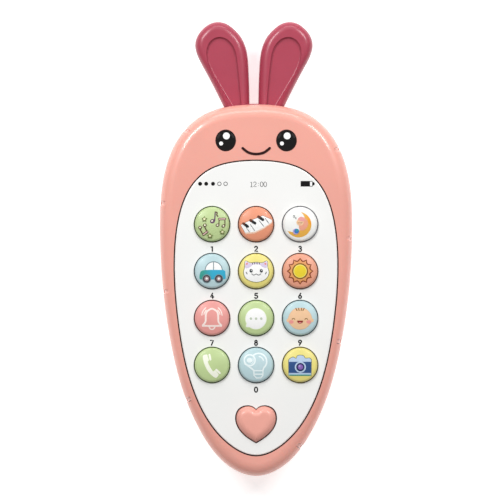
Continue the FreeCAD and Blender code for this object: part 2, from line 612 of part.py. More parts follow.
def plate_contacts():
    """Four spring-steel plates, two of which link neighbouring cells."""
    half, low, high = 4.4, CELL_Z - 4.2, CELL_Z + 4.2
    spans = [(-1, -1, BAY_HIGH - 0.45), (0, 1, BAY_HIGH - 0.45), (-1, 0, BAY_LOW), (1, 1, BAY_LOW)]
    plates = [box((a * CELL_PITCH - half, b * CELL_PITCH + half), (y + 0.05, y + 0.4), (low, high))
              for a, b, y in spans]
    return Part.makeCompound(plates)


def spring_contacts():
    """A coil against the flat end of each cell."""
    height = BAY_HIGH - BAY_LOW - CELL_LENGTH - CELL_NUB - 1.1 - 2 * SPRING_WIRE
    springs = []
    for index in range(3):
        up = index != 1
        foot = BAY_LOW + 0.5 + SPRING_WIRE if up else BAY_HIGH - 0.55 - SPRING_WIRE
        points = []
        for k in range(SPRING_TURNS * SPRING_CORNERS + 1):
            turn = 2 * math.pi * k / SPRING_CORNERS
            rise = height * k / (SPRING_TURNS * SPRING_CORNERS)
            points.append(((index - 1) * CELL_PITCH + SPRING_RADIUS * math.cos(turn),
                           foot + (rise if up else -rise), CELL_Z + SPRING_RADIUS * math.sin(turn)))
        springs.append(lead(points, SPRING_WIRE))
    return Part.makeCompound(springs)


def battery_door():
    """Cover over the cells: two tabs at its lower end, a screw at its upper end."""
    plate = rounded_box((-DOOR_HALF, DOOR_HALF), (DOOR_LOW, DOOR_HIGH), (0, DOOR_THICK), DOOR_CORNER)
    low, high = -0.5, DOOR_THICK - 0.2
    corners = [(DOOR_LOW - 0.5, low), (DOOR_LOW + 1.7, low), (DOOR_LOW, high), (DOOR_LOW - 0.5, high)]
    section = [Vector(-DOOR_HALF - CLEAR, y, z) for y, z in corners + corners[:1]]
    bevel = Part.Face(Part.makePolygon(section)).extrude(Vector(2 * (DOOR_HALF + CLEAR), 0, 0))
    inner = 1.0
    tabs = []
    for x in DOOR_TABS:
        wide = (x - TAB_HALF, x + TAB_HALF)
        tabs.append(box(wide, (DOOR_LOW + 0.3, DOOR_LOW + TAB_ROOT), (inner, TAB_HIGH)))
        tabs.append(box(wide, (DOOR_LOW - TAB_REACH, DOOR_LOW + TAB_ROOT), (TAB_LOW, TAB_HIGH)))
    ribs = [box((x - RIB_HALF, x + RIB_HALF), (BAY_LOW + RIB_INSET, BAY_HIGH - RIB_INSET), (inner, RIB_TOP))
            for x in (-CELL_PITCH / 2, CELL_PITCH / 2)]
    door = fuse([plate.cut(bevel), rod(*DOOR_SCREW, DOOR_BOSS, inner, DOOR_BOSS_TOP)] + tabs + ribs)
    grip = [box((-GRIP_HALF, GRIP_HALF), (y, y + GRIP_WIDTH), (-CLEAR, GRIP_DEPTH)) for y in GRIP_ROWS]
    holes = [rod(*DOOR_SCREW, DOOR_HEAD_HOLE, -CLEAR, DOOR_SEAT),
             rod(*DOOR_SCREW, DOOR_SHANK_HOLE, 0, DOOR_BOSS_TOP + CLEAR)]
    return door.cut(holes + grip)


# ---- fasteners and switch -----------------------------------------------------------------------

def screw(x, y, head_low, head_radius, head_high, shank_radius, tip):
    """A cross-head screw driven from below; the thread is drawn as a plain shank."""
    solid = turned([(0, head_low), (head_radius * 0.8, head_low), (head_radius, head_low + 0.4),
                    (head_radius, head_high), (shank_radius, head_high), (shank_radius, tip - 0.8),
                    (shank_radius * 0.4, tip), (0, tip)], x, y)
    arm, half = head_radius * 0.6, head_radius * 0.13
    deep = (head_low - CLEAR, head_low + (head_high - head_low) * 0.6)
    cross = [box((x - a, x + a), (y - b, y + b), deep) for a, b in ((arm, half), (half, arm))]
    return solid.cut(cross)


def case_screws():
    return Part.makeCompound([screw(x, y, COUNTERBORE - 1.7, 2.5, COUNTERBORE, 1.3, SPLIT + 6.0)
                              for x, y in CASE_SCREWS])


def board_screws():
    low = BOARD_TOP - BOARD_THICK
    return Part.makeCompound([screw(x, y, low - 1.0, 1.8, low, 0.9, BOARD_TOP + 3.8)
                              for x, y in BOARD_SCREWS])


def door_screw():
    return screw(*DOOR_SCREW, 0.7, 2.5, DOOR_SEAT - 0.05, 1.0, DOOR_PILOT_TOP - 0.4)


def switch_knob():
    """Slider with a ribbed thumb pad in the back of the case; at rest it stands at its left stop."""
    x, y = -SWITCH_TRAVEL / 2, SWITCH_Y
    pad = rounded_box((x - KNOB_HALF, x + KNOB_HALF), (y - KNOB_SIDE, y + KNOB_SIDE), (0.35, 2.4), 0.5)
    grooves = [box((x + k - 0.2, x + k + 0.2), (y - KNOB_SIDE - CLEAR, y + KNOB_SIDE + CLEAR), (0, 0.7))
               for k in KNOB_GROOVES]
    plate = box((x - 7.0, x + 7.0), (y - 3.0, y + 3.0), (2.3, 3.3))
    post = box((x - 0.8, x + 0.8), (y - 0.8, y + 0.8), (3.3, 5.8))
    return fuse([pad.cut(grooves), plate, post])


def switch_housing():
    y = SWITCH_Y
    body = box((-SWITCH_X, SWITCH_X), (y - SWITCH_LOW_SIDE, y + SWITCH_HIGH_SIDE),
               (SWITCH_FLOOR, SWITCH_TOP))
    return body.cut(box((-4.2, 4.2), (y - 1.1, y + 1.1), (SWITCH_FLOOR - CLEAR, 6.4)))


# ---- export -------------------------------------------------------------------------------------

PARTS = {
    "front_shell": front_shell, "rear_shell": rear_shell, "face_panel": face_panel,
    "ear_teether": ear_teether, "heart_button": heart_button, "keypad_mat": keypad_mat,
    "main_board": main_board, "sound_chip": sound_chip, "board_parts": board_parts,
    "indicator_leds": indicator_leds, "board_screws": board_screws, "speaker_frame": speaker_frame,
    "speaker_magnet": speaker_magnet, "speaker_cone": speaker_cone, "speaker_leads": speaker_leads,
    "battery_leads": battery_leads, "switch_leads": switch_leads, "plate_contacts": plate_contacts,
    "spring_contacts": spring_contacts, "battery_door": battery_door, "door_screw": door_screw,
    "case_screws": case_screws, "switch_knob": switch_knob, "switch_housing": switch_housing,
}
PARTS.update({f"battery_{k + 1}": (lambda k=k: battery(k)) for k in range(3)})
PARTS.update({name: (lambda at=at: round_key(*at)) for name, at in KEYS.items()})

os.makedirs("parts", exist_ok=True)
for name, make in PARTS.items():
    shape = make()
    shape.exportStep(f"parts/{name}.step")
    box_ = shape.BoundBox
    print(f"{name:16s} solids {len(shape.Solids):2d} valid {shape.isValid()} volume {shape.Volume:9.1f} "
          f"z {box_.ZMin:6.2f} {box_.ZMax:6.2f} y {box_.YMin:6.2f} {box_.YMax:6.2f}")
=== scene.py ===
import math

import bpy
import numpy as np
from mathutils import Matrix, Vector, geometry
from mathutils.bvhtree import BVHTree


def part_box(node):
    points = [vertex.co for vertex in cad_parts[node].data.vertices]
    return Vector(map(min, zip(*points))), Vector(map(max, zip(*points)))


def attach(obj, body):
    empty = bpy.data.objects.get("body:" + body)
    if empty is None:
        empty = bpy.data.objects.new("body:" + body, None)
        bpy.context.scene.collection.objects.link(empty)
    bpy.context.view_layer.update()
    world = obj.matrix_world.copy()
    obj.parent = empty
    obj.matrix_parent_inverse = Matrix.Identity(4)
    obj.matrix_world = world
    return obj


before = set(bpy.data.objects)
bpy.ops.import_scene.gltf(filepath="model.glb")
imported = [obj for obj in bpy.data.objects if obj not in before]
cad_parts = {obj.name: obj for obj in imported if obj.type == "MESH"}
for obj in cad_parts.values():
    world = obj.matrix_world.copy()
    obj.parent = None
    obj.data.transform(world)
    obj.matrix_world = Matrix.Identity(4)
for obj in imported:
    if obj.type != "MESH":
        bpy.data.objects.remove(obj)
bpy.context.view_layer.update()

# Looks of the toy phone. Lengths in the drawings below are millimetres in the CAD frame: +X to the
# right of the face, +Y towards the ears, +Z out of the face. MM turns them into metres.
MM = 0.001

# Places of printed things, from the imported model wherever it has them.
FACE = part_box("front_shell")[1].z / MM
PANEL_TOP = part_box("face_panel")[1].z / MM
PANEL_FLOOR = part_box("face_panel")[0].z / MM

INK = 0.02               # how far each printed layer stands over the one before
PICTURE_STEP = 0.8       # size of the triangles that follow a key's dome
SKIRT_SHADE_DEPTH = 0.35          # how far under the panel's surface the painted shade on the keys' skirts starts
WALL_SHADE_TOP = 0.35          # how far under the case's face the painted shade starts on its wall round the panel
WALL_SHADE_DEPTH = 2.5         # how far under the panel that wall's painted shade reaches
PANEL_EDGE_SHADE = 0.18        # how far under the panel's surface the painted shade on its edge starts
CELL_BAND = 25.0         # where the gold band of the cells starts along Y
NUMERAL_DROP = 9.75      # from a key's centre to the middle of its numeral
NUMERAL_HEIGHT, NUMERAL_WEIGHT = 2.1, 0.53
STATUS_Y = 25.65
CLOCK_HEIGHT, CLOCK_WEIGHT = 2.05, 0.24
EYE_X, EYE_Y = 12.0, 42.75
CAMERA_DISTANCE = 2.0    # metres
VIEW_WIDTH = 198.5       # width of the view at the height of the case's widest line
VIEW_CENTRE = (-2.4, -0.5, 13.5)
ROOM_LIGHT = 0.28
FLOOR_HALF = 80.0        # metres, so that the floor's edge is far off in low views
FLOOR_DROP = 0.0002      # metres that the floor lies under the case
FLOOR_GREY = 0.75
FLOOR_GLOW = 0.62        # lifts the floor to a pale studio white

# The middle colour is painted shade: the brown of the deep gap round the face panel, laid on the case's wall
# and the panel's edge.
CASE_PINK, GAP_SHADE_BROWN, PANEL_WHITE = "F2AA9B", "45160F", "F8F8F6"


def srgb(code):
    """Linear colour from a six-digit hex code."""
    values = [int(code[k:k + 2], 16) / 255 for k in (0, 2, 4)]
    return tuple(v / 12.92 if v <= 0.04045 else ((v + 0.055) / 1.055) ** 2.4 for v in values)


# ---- 2-D shapes ---------------------------------------------------------------------------------
# A loop is a list of (x, y). A region is a list of loops: anticlockwise loops add, clockwise ones cut.

def area(loop):
    return sum(a[0] * b[1] - b[0] * a[1] for a, b in zip(loop, loop[1:] + loop[:1])) / 2


def solid(loop):
    return loop if area(loop) > 0 else loop[::-1]


def hole(loop):
    return solid(loop)[::-1]


def arc(cx, cy, rx, start, end, ry=None, steps=None):
    """Points on an arc or part of an ellipse, with its angles in degrees."""
    ry = rx if ry is None else ry
    steps = steps or max(4, int(abs(end - start) / 9))
    angles = [math.radians(start + (end - start) * k / steps) for k in range(steps + 1)]
    return [(cx + rx * math.cos(a), cy + ry * math.sin(a)) for a in angles]


def ellipse(cx, cy, rx, ry=None, tilt=0):
    turn = math.radians(tilt)
    points = arc(0, 0, rx, 0, 360, ry)[:-1]
    return [(cx + x * math.cos(turn) - y * math.sin(turn), cy + x * math.sin(turn) + y * math.cos(turn))
            for x, y in points]


def ring(cx, cy, radius, width):
    return [ellipse(cx, cy, radius), hole(ellipse(cx, cy, radius - width))]


def smooth(points, closed=False):
    """Points along a Catmull-Rom curve."""
    steps = 6
    count = len(points)
    curve = []
    for k in range(count if closed else count - 1):
        if closed:
            a, b, c, d = (points[(k + n) % count] for n in (-1, 0, 1, 2))
        else:
            a, b, c, d = (points[min(max(k + n, 0), count - 1)] for n in (-1, 0, 1, 2))
        for s in range(steps):
            t = s / steps
            curve.append(tuple(
                0.5 * (2 * b[i] + (c[i] - a[i]) * t + (2 * a[i] - 5 * b[i] + 4 * c[i] - d[i]) * t ** 2
                       + (3 * b[i] - a[i] - 3 * c[i] + d[i]) * t ** 3) for i in (0, 1)))
    return curve if closed else curve + [points[-1]]


def normals(points, closed):
    """Unit normals, to the left of the direction of travel."""
    count = len(points)
    result = []
    for k in range(count):
        before = points[k - 1] if closed or k else points[k]
        after = points[(k + 1) % count] if closed or k < count - 1 else points[k]
        dx, dy = after[0] - before[0], after[1] - before[1]
        size = math.hypot(dx, dy) or 1
        result.append((-dy / size, dx / size))
    return result


def stroke(points, width):
    """A line with round ends."""
    sides = normals(points, False)
    half = width / 2
    left = [(p[0] + n[0] * half, p[1] + n[1] * half) for p, n in zip(points, sides)]
    right = [(p[0] - n[0] * half, p[1] - n[1] * half) for p, n in zip(points, sides)]

    def cap(p, n, turn):
        angle = math.degrees(math.atan2(n[1], n[0]))
        return arc(*p, half, angle, angle + turn, steps=6)[1:-1]

    loop = left + cap(points[-1], sides[-1], -180) + right[::-1]
    return [solid(loop + cap(points[0], (-sides[0][0], -sides[0][1]), -180))]


def contour(loop, width):
    """A line of even width along a closed loop."""
    loop = solid(loop)
    sides = normals(loop, True)
    outer = [(p[0] - n[0] * width / 2, p[1] - n[1] * width / 2) for p, n in zip(loop, sides)]
    inner = [(p[0] + n[0] * width / 2, p[1] + n[1] * width / 2) for p, n in zip(loop, sides)]
    return [solid(outer), hole(inner)]


def star(cx, cy, outer, inner):
    """A five-pointed star."""
    corners = []
    for k in range(10):
        angle = 90 + 36 * k
        corners.append(arc(cx, cy, inner if k % 2 else outer, angle, angle, steps=1)[0])
    return corners


# ---- from shapes to printed layers --------------------------------------------------------------

def winding(region, points):
    """Winding number of a region round each of the points."""
    total = np.zeros(len(points))
    px, py = points[:, 0], points[:, 1]
    for loop in region:
        for (ax, ay), (bx, by) in zip(loop, loop[1:] + loop[:1]):
            side = (bx - ax) * (py - ay) - (px - ax) * (by - ay)
            total += (ay <= py) & (by > py) & (side > 0)
            total -= (ay > py) & (by <= py) & (side < 0)
    return total


def split(loop, length):
    """The loop with its long edges cut into short ones."""
    points = []
    for a, b in zip(loop, loop[1:] + loop[:1]):
        parts = max(1, math.ceil(math.dist(a, b) / length))
        dx, dy = (b[0] - a[0]) / parts, (b[1] - a[1]) / parts
        points += [(a[0] + dx * k, a[1] + dy * k) for k in range(parts)]
    return points


def triangles(region, spacing):
    """Fills a region with triangles. The inner points let the sheet follow a curved surface."""
    points, edges = [], []
    if spacing:
        region = [split(loop, spacing) for loop in region]
    for loop in region:
        first = len(points)
        points += loop
        edges += [(first + k, first + (k + 1) % len(loop)) for k in range(len(loop))]
    if spacing:
        low, high = np.min(points, axis=0), np.max(points, axis=0)
        xs, ys = (np.arange(a + spacing / 2, b, spacing) for a, b in zip(low, high))
        grid = np.array([(x, y) for x in xs for y in ys]).reshape(-1, 2)
        if len(grid):
            points = points + [tuple(p) for p in grid[winding(region, grid) > 0]]
    flat = geometry.delaunay_2d_cdt([Vector(p) for p in points], edges, [], 0, 1e-5)
    verts, faces = flat[0], flat[2]
    centres = np.array([sum((verts[i] for i in f), Vector((0, 0))) / len(f) for f in faces])
    kept = [f for f, w in zip(faces, winding(region, centres)) if w > 0]
    return [tuple(v) for v in verts], kept


def height_of(node):
    """Height of a CAD node's upper surface over a point of the plan."""
    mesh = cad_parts[node].data
    faces = [tuple(p.vertices) for p in mesh.polygons]
    tree = BVHTree.FromPolygons([v.co for v in mesh.vertices], faces)

    def height(x, y):
        hit = tree.ray_cast(Vector((x * MM, y * MM, 1.0)), Vector((0, 0, -1)))[0]
        return hit.z / MM

    return height


def level(z):
    return lambda x, y: z


def printed(name, layers, height, body, centre=(0, 0), spacing=0.0):
    """One printed piece. Each layer is (material, region), and lies on the one before it."""
    verts, faces, paints, materials = [], [], [], []
    for order, (material, region) in enumerate(layers):
        if material not in materials:
            materials.append(material)
        flat, tris = triangles(region, spacing)
        used = sorted({i for f in tris for i in f})
        place = {i: k for k, i in enumerate(used)}
        base, count = len(verts), len(used)
        spots = [(flat[i][0] + centre[0], flat[i][1] + centre[1]) for i in used]
        floor = [height(x, y) for x, y in spots]
        verts += [(x, y, z + INK * (order + 1)) for (x, y), z in zip(spots, floor)]
        verts += [(x, y, z - INK) for (x, y), z in zip(spots, floor)]
        sides = {}
        made = []
        for f in tris:
            a, b, c = (base + place[i] for i in f)
            made += [(a, b, c), (c + count, b + count, a + count)]
            for edge in ((a, b), (b, c), (c, a)):
                sides[edge] = edge[::-1] not in sides
                if edge[::-1] in sides:
                    sides[edge[::-1]] = False
        made += [(b, a, a + count, b + count) for (a, b), rim in sides.items() if rim]
        faces += made
        paints += [materials.index(material)] * len(made)
    mesh = bpy.data.meshes.new(name)
    mesh.from_pydata([(x * MM, y * MM, z * MM) for x, y, z in verts], [], faces)
    for material in materials:
        mesh.materials.append(material)
    mesh.polygons.foreach_set("material_index", paints)
    mesh.update()
    piece = bpy.data.objects.new(name, mesh)
    bpy.context.scene.collection.objects.link(piece)
    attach(piece, body)


# ---- materials ----------------------------------------------------------------------------------

class Surface:
    """A Principled material with short calls for the nodes that most of them need."""

    def __init__(self, name, roughness=0.4, coat=0.0, metallic=0.0, **sockets):
        self.material = bpy.data.materials.new(name)
        self.material.use_nodes = True
        tree = self.material.node_tree
        self.nodes, self.links = tree.nodes, tree.links
        self.shader = tree.nodes["Principled BSDF"]
        self.set("Roughness", roughness)
        self.set("Coat Weight", coat)
        self.set("Coat Roughness", 0.08)
        self.set("Metallic", metallic)
        for socket, value in sockets.items():
            self.set(socket.replace("_", " "), value)
        self.place = self.add("ShaderNodeTexCoord").outputs["Object"]

    def set(self, socket, value):
        self.shader.inputs[socket].default_value = value

    def add(self, kind, **values):
        node = self.nodes.new(kind)
        for key, value in values.items():
            setattr(node, key, value)
        return node

    def join(self, source, target):
        self.links.new(source, target)

    def noise(self, scale, detail=3.0):
        """Noise with features of about 1 / scale metres."""
        node = self.add("ShaderNodeTexNoise")
        node.inputs["Scale"].default_value = scale
        node.inputs["Detail"].default_value = detail
        self.join(self.place, node.inputs["Vector"])
        return node.outputs["Fac"]

    def spread(self, source, low, high, start=0.3, end=0.7):
        """source mapped from start..end to low..high, and held there."""
        node = self.add("ShaderNodeMapRange")
        for socket, value in zip(("From Min", "From Max", "To Min", "To Max"), (start, end, low, high)):
            node.inputs[socket].default_value = value
        self.join(source, node.inputs["Value"])
        return node.outputs["Result"]

    def math(self, operation, a, b):
        node = self.add("ShaderNodeMath", operation=operation)
        for socket, value in zip(node.inputs, (a, b)):
            if isinstance(value, (int, float)):
                socket.default_value = value
            else:
                self.join(value, socket)
        return node.outputs["Value"]

    def axis(self, letter):
        node = self.add("ShaderNodeSeparateXYZ")
        self.join(self.place, node.inputs["Vector"])
        return node.outputs[letter]

    def mix(self, share, a, b):
        """Colour a where share is 0 and b where it is 1. Each is a colour or an output."""
        node = self.add("ShaderNodeMix", data_type="RGBA")
        self.join(share, node.inputs["Factor"])
        for socket, value in ((node.inputs[6], a), (node.inputs[7], b)):
            if isinstance(value, tuple):
                socket.default_value = (*value, 1)
            else:
                self.join(value, socket)
        return node.outputs[2]

    def mottled(self, colour, amount, scale=60.0):
        """A colour that drifts a little lighter and darker over the piece."""
        light = tuple(min(1.0, c * (1 + amount)) for c in colour)
        dark = tuple(c * (1 - amount) for c in colour)
        return self.mix(self.spread(self.noise(scale), 0, 1), dark, light)

    def paint(self, colour):
        self.join(colour, self.shader.inputs["Base Color"])

    def uneven(self, low, high, scale):
        """Roughness that drifts between low and high over the surface."""
        self.join(self.spread(self.noise(scale), low, high), self.shader.inputs["Roughness"])

    def bumpy(self, scale, depth):
        """A fine relief. depth is in millimetres."""
        node = self.add("ShaderNodeBump")
        node.inputs["Distance"].default_value = depth * MM
        self.join(self.noise(scale, 2.0), node.inputs["Height"])
        self.join(node.outputs["Normal"], self.shader.inputs["Normal"])

    def below(self, z, blend=0.15):
        """1 under the height z in millimetres, and 0 over it."""
        return self.spread(self.axis("Z"), 1, 0, (z - blend) * MM, z * MM)


def skin(surface, gloss):
    """The nearly even gloss and faint relief of moulded plastic."""
    surface.uneven(gloss - 0.01, gloss + 0.01, 60)
    surface.bumpy(1500, 0.0006)
    return surface.material


def moulded(name, code, gloss, coat):
    """Moulded plastic with a faint drift of colour."""
    surface = Surface(name, coat=coat)
    surface.paint(surface.mottled(srgb(code), 0.02))
    return skin(surface, gloss)


def facing_in(surface):
    """0 on sides that face away from the case's middle line, and 1 elsewhere."""
    flat = surface.add("ShaderNodeVectorMath", operation="MULTIPLY")
    flat.inputs[1].default_value = (1, 1, 0)
    surface.join(surface.place, flat.inputs[0])
    outward = surface.add("ShaderNodeVectorMath", operation="DOT_PRODUCT")
    surface.join(flat.outputs["Vector"], outward.inputs[0])
    surface.join(surface.nodes["Texture Coordinate"].outputs["Normal"], outward.inputs[1])
    return surface.math("LESS_THAN", outward.outputs["Value"], 0.0005)


def case_pink():
    """Pink plastic, with painted shade in brown on its wall round the face panel, down in the narrow gap."""
    surface = Surface("case_pink", coat=0.4, Subsurface_Weight=0.06, Subsurface_Scale=0.002)
    bottom = PANEL_FLOOR - WALL_SHADE_DEPTH
    high = surface.spread(surface.axis("Z"), 0, 1, bottom * MM, (bottom + 0.1) * MM)
    # The wall facing the panel, from under the face down into the gap, is painted brown as the gap's shade.
    wall = surface.math("MULTIPLY", facing_in(surface), surface.below(FACE - WALL_SHADE_TOP))
    mask = surface.math("MULTIPLY", wall, high)
    surface.paint(surface.mix(mask, surface.mottled(srgb(CASE_PINK), 0.025, 35), srgb(GAP_SHADE_BROWN)))
    return skin(surface, 0.31)


def key_plastic(name, colour, dark, gloss=0.37):
    """Glossy key, with the dark colour painted on its skirt as the shade in the gap."""
    surface = Surface(name, coat=0.15)
    # Under the panel's surface the skirt takes the dark colour: painted shade of the gap.
    skirt = surface.below(PANEL_TOP - SKIRT_SHADE_DEPTH)
    surface.paint(surface.mix(skirt, surface.mottled(srgb(colour), 0.03, 200), srgb(dark)))
    surface.uneven(gloss - 0.02, gloss + 0.02, 150)
    surface.bumpy(2000, 0.0006)
    return surface.material


def panel_white():
    """White plastic, with painted shade in brown low on its rounded edge where it dips into the gap."""
    surface = Surface("panel_white", coat=0.4)
    # Low on the rounded edge the brown is painted shade of the gap.
    edge = surface.below(PANEL_TOP - PANEL_EDGE_SHADE, 0.05)
    surface.paint(surface.mix(edge, surface.mottled(srgb(PANEL_WHITE), 0.01), srgb(GAP_SHADE_BROWN)))
    return skin(surface, 0.25)


def ear_silicone():
    """Satin silicone with a faint sheen."""
    surface = Surface("ear_silicone", coat=0.35, Subsurface_Weight=0.05, Subsurface_Scale=0.002,
                      Sheen_Weight=0.05, Sheen_Roughness=0.4)
    surface.set("Coat Roughness", 0.16)
    surface.paint(surface.mottled(srgb("AD3C52"), 0.04, 80))
    surface.uneven(0.39, 0.45, 100)
    surface.bumpy(4000, 0.002)
    return surface.material


def ink(name, code, second=None, blend=None):
    """Printing ink, duller than the key. second and blend make it run from one colour to another."""
    surface = Surface("ink_" + name, coat=0.05)
    surface.set("Specular IOR Level", 0.25)
    colour = surface.mottled(srgb(code), 0.02, 900)
    if second:
        letter, start, end = blend
        share = surface.spread(surface.axis(letter), 0, 1, start * MM, end * MM)
        colour = surface.mix(share, colour, srgb(second))
    surface.paint(colour)
    surface.uneven(0.3, 0.4, 1500)
    return surface.material


def metal(name, code, roughness=0.3):
    scale = 900
    surface = Surface(name, metallic=1.0)
    surface.paint(surface.mottled(srgb(code), 0.08, scale))
    surface.uneven(roughness - 0.08, roughness + 0.12, scale)
    surface.bumpy(scale * 3, 0.003)
    return surface.material


def board_green():
    """Solder mask over copper tracks."""
    surface = Surface("board_laminate", coat=0.4)
    tracks = surface.add("ShaderNodeTexBrick")
    tracks.inputs["Scale"].default_value = 220
    tracks.inputs["Mortar Size"].default_value = 0.06
    surface.join(surface.place, tracks.inputs["Vector"])
    surface.paint(surface.mix(tracks.outputs["Fac"], srgb("1F5B36"), srgb("3E8A55")))
    surface.uneven(0.3, 0.45, 700)
    surface.bumpy(3000, 0.004)
    return surface.material


def cell_jacket():
    """Dark sleeve with a gold band at the positive end."""
    surface = Surface("cell_jacket", metallic=0.6, coat=0.3)
    band = surface.spread(surface.axis("Y"), 0, 1, CELL_BAND * MM, (CELL_BAND + 0.4) * MM)
    surface.paint(surface.mix(band, srgb("2B2F38"), srgb("B98A3E")))
    surface.uneven(0.25, 0.4, 500)
    return surface.material


def plain_kinds():
    """Finishes of everything that isn't a key, an ear or the case."""
    lens = Surface("lamp_lens", roughness=0.1, Transmission_Weight=0.6)
    lens.paint(lens.mottled(srgb("F4F6F2"), 0.02, 500))
    return {
        "keypad_mat": moulded("mat_silicone", "C9CDC8", 0.5, 0.05),
        "main_board": board_green(),
        "sound_chip": moulded("chip_resin", "101010", 0.25, 0.3),
        "board_parts": moulded("small_parts", "26262A", 0.45, 0.1),
        "indicator_leds": lens.material,
        "board_screws": metal("screw_steel", "B9BABD"),
        "speaker_frame": metal("frame_steel", "8E9094", 0.35),
        "speaker_magnet": metal("magnet", "3A3A3D", 0.45),
        "speaker_cone": moulded("cone_film", "17171A", 0.5, 0.1),
        "speaker_leads": moulded("red_jacket", "B3221C", 0.4, 0.2),
        "battery_leads": moulded("black_jacket", "1D1D1F", 0.4, 0.2),
        "plate_contacts": metal("contact_plate", "D5D5D2", 0.2),
        "switch_housing": moulded("switch_black", "1A1A1C", 0.45, 0.1),
        "switch_knob": moulded("knob_white", "EDECEA", 0.35, 0.2),
    }


SAME_AS = {
    "switch_leads": "battery_leads", "spring_contacts": "plate_contacts",
    "case_screws": "board_screws", "door_screw": "board_screws",
}


# ---- pictures on the keys -----------------------------------------------------------------------

def note_head(cx, cy, dark, light):
    size = 0.62
    return [
        (dark, [ellipse(cx, cy, size * 1.15, size, 20)]),
        (light, [ellipse(cx, cy, size * 0.6, size * 0.5, 20)]),
    ]


def music(c):
    """A note with a flag, two pairs with a beam, and three stars."""
    dark, light = c["bark"], c["cream"]
    layers = [
        (c["plum"], [ellipse(0.2, 1.15, 1.0, 0.85, 25)] + stroke([(1.05, 1.3), (1.3, 4.7)], 0.5)),
        (dark, stroke(smooth([(1.3, 4.8), (2.0, 4.5), (1.9, 3.6), (2.3, 3.1)]), 0.5)),
        (light, [ellipse(0.05, 1.25, 0.4, 0.3, 25)]),
    ]
    pairs = (
        ([((2.75, -0.3), (2.85, 2.2)), ((5.1, -0.6), (5.1, 2.2))],
         ((2.85, 2.0), (5.1, 2.1)), ((2.2, -0.4), (4.5, -0.7))),
        ([((-3.5, -4.2), (-5.1, -1.2)), ((-1.9, -3.0), (-3.3, -0.3))],
         ((-3.4, -4.1), (-1.9, -3.0)), ((-4.7, -1.3), (-2.8, -0.4))),
    )
    for stems, beam, heads in pairs:
        layers.append((dark, [loop for a, b in stems for loop in stroke([a, b], 0.38)]))
        layers.append((dark, stroke(list(beam), 0.95)))
        layers.append((c["blossom"], stroke(list(beam), 0.4)))
        for head in heads:
            layers += note_head(*head, dark, light)
    for x, y in ((-3.0, 2.0), (4.1, -3.1), (-0.8, -4.6)):
        layers += [(c["moss"], [star(x, y, 1.15, 0.6)]), (c["straw"], [star(x, y, 0.62, 0.34)])]
    return layers


def piano(c):
    """A tilted keyboard."""
    board = [(-6.0, -0.4), (-4.3, 0.55), (2.7, 3.35), (6.25, 1.7), (6.3, 0.9), (3.2, -1.3),
             (-0.5, -3.05), (-4.3, -3.4)]
    front = [(-4.2, -3.4), (-0.5, -3.05), (3.2, -1.3), (6.3, 0.9), (6.25, 0.35), (3.1, -1.9),
             (-0.5, -3.65), (-4.3, -4.0)]
    layers = [
        (c["brown"], contour(board, 0.28)),
        (c["bisque"], [solid(front)]),
        (c["white"], [solid(board)]),
    ]
    splits = (
        (-4.3, -0.6, -2.6, -3.1), (-2.3, -0.1, -0.5, -2.6), (1.2, 1.4, 3.1, -0.9), (3.6, 2.3, 5.0, 0.4),
    )
    for ax, ay, bx, by in splits:
        layers.append((c["slate"], stroke([(ax, ay), (bx, by)], 0.22)))
    for ax, ay, bx, by in ((-4.9, 0.2, -3.3, -0.9), (-2.1, 1.5, -0.4, 0.4), (1.0, 2.9, 2.7, 1.8)):
        layers.append((c["black"], stroke([(ax, ay), (bx, by)], 1.05)))
        layers.append((c["brown"], stroke([(ax - 0.15, ay + 0.1), (ax + 0.25, ay - 0.16)], 0.8)))
    return layers


def moon(c):
    """A baby asleep under a blanket on a crescent moon, with a ball."""
    crescent = arc(-0.6, -0.2, 5.05, 88, -150) + arc(-2.5, 1.3, 4.45, -112, 52)
    dusk = arc(-0.6, -0.2, 5.05, 70, -5) + arc(-1.6, 0.8, 4.8, -3, 56)
    blanket = [(1.2, 2.2), (2.5, 1.9), (3.1, 0.6), (2.9, -0.9), (1.6, -2.3), (0.1, -2.4), (-0.5, -0.9),
               (0.4, 0.8)]
    cap = [(-0.9, 2.0), (0.2, 2.9), (1.7, 2.5), (2.0, 1.5), (0.9, 1.1), (-0.3, 1.4)]
    eyes = stroke(arc(-0.6, 0.75, 0.32, 200, 340), 0.16) + stroke(arc(0.5, 0.75, 0.32, 200, 340), 0.16)
    sleep = stroke([(-2.7, 3.4), (-2.1, 3.4), (-2.7, 2.8), (-2.1, 2.8)], 0.16)
    sleep += stroke([(-1.9, 2.6), (-1.5, 2.6), (-1.9, 2.2), (-1.5, 2.2)], 0.13)
    return [
        (c["honey"], [solid(crescent)]),
        (c["orange"], [solid(dusk)]),
        (c["apricot"], [solid(smooth(blanket, True))]),
        (c["peach"], [ellipse(0.0, 0.7, 1.45, 1.3)]),
        (c["pink"], [solid(smooth(cap, True))]),
        (c["brown"], eyes),
        (c["rose"], [ellipse(-0.05, 0.05, 0.22, 0.14)]),
        (c["lilac"], [ellipse(-1.7, -2.9, 1.15)]),
        (c["cobalt"], [ellipse(-1.35, -2.75, 0.95)]),
        (c["teal"], [ellipse(-1.2, -2.35, 0.42)]),
        (c["slate"], sleep),
    ]


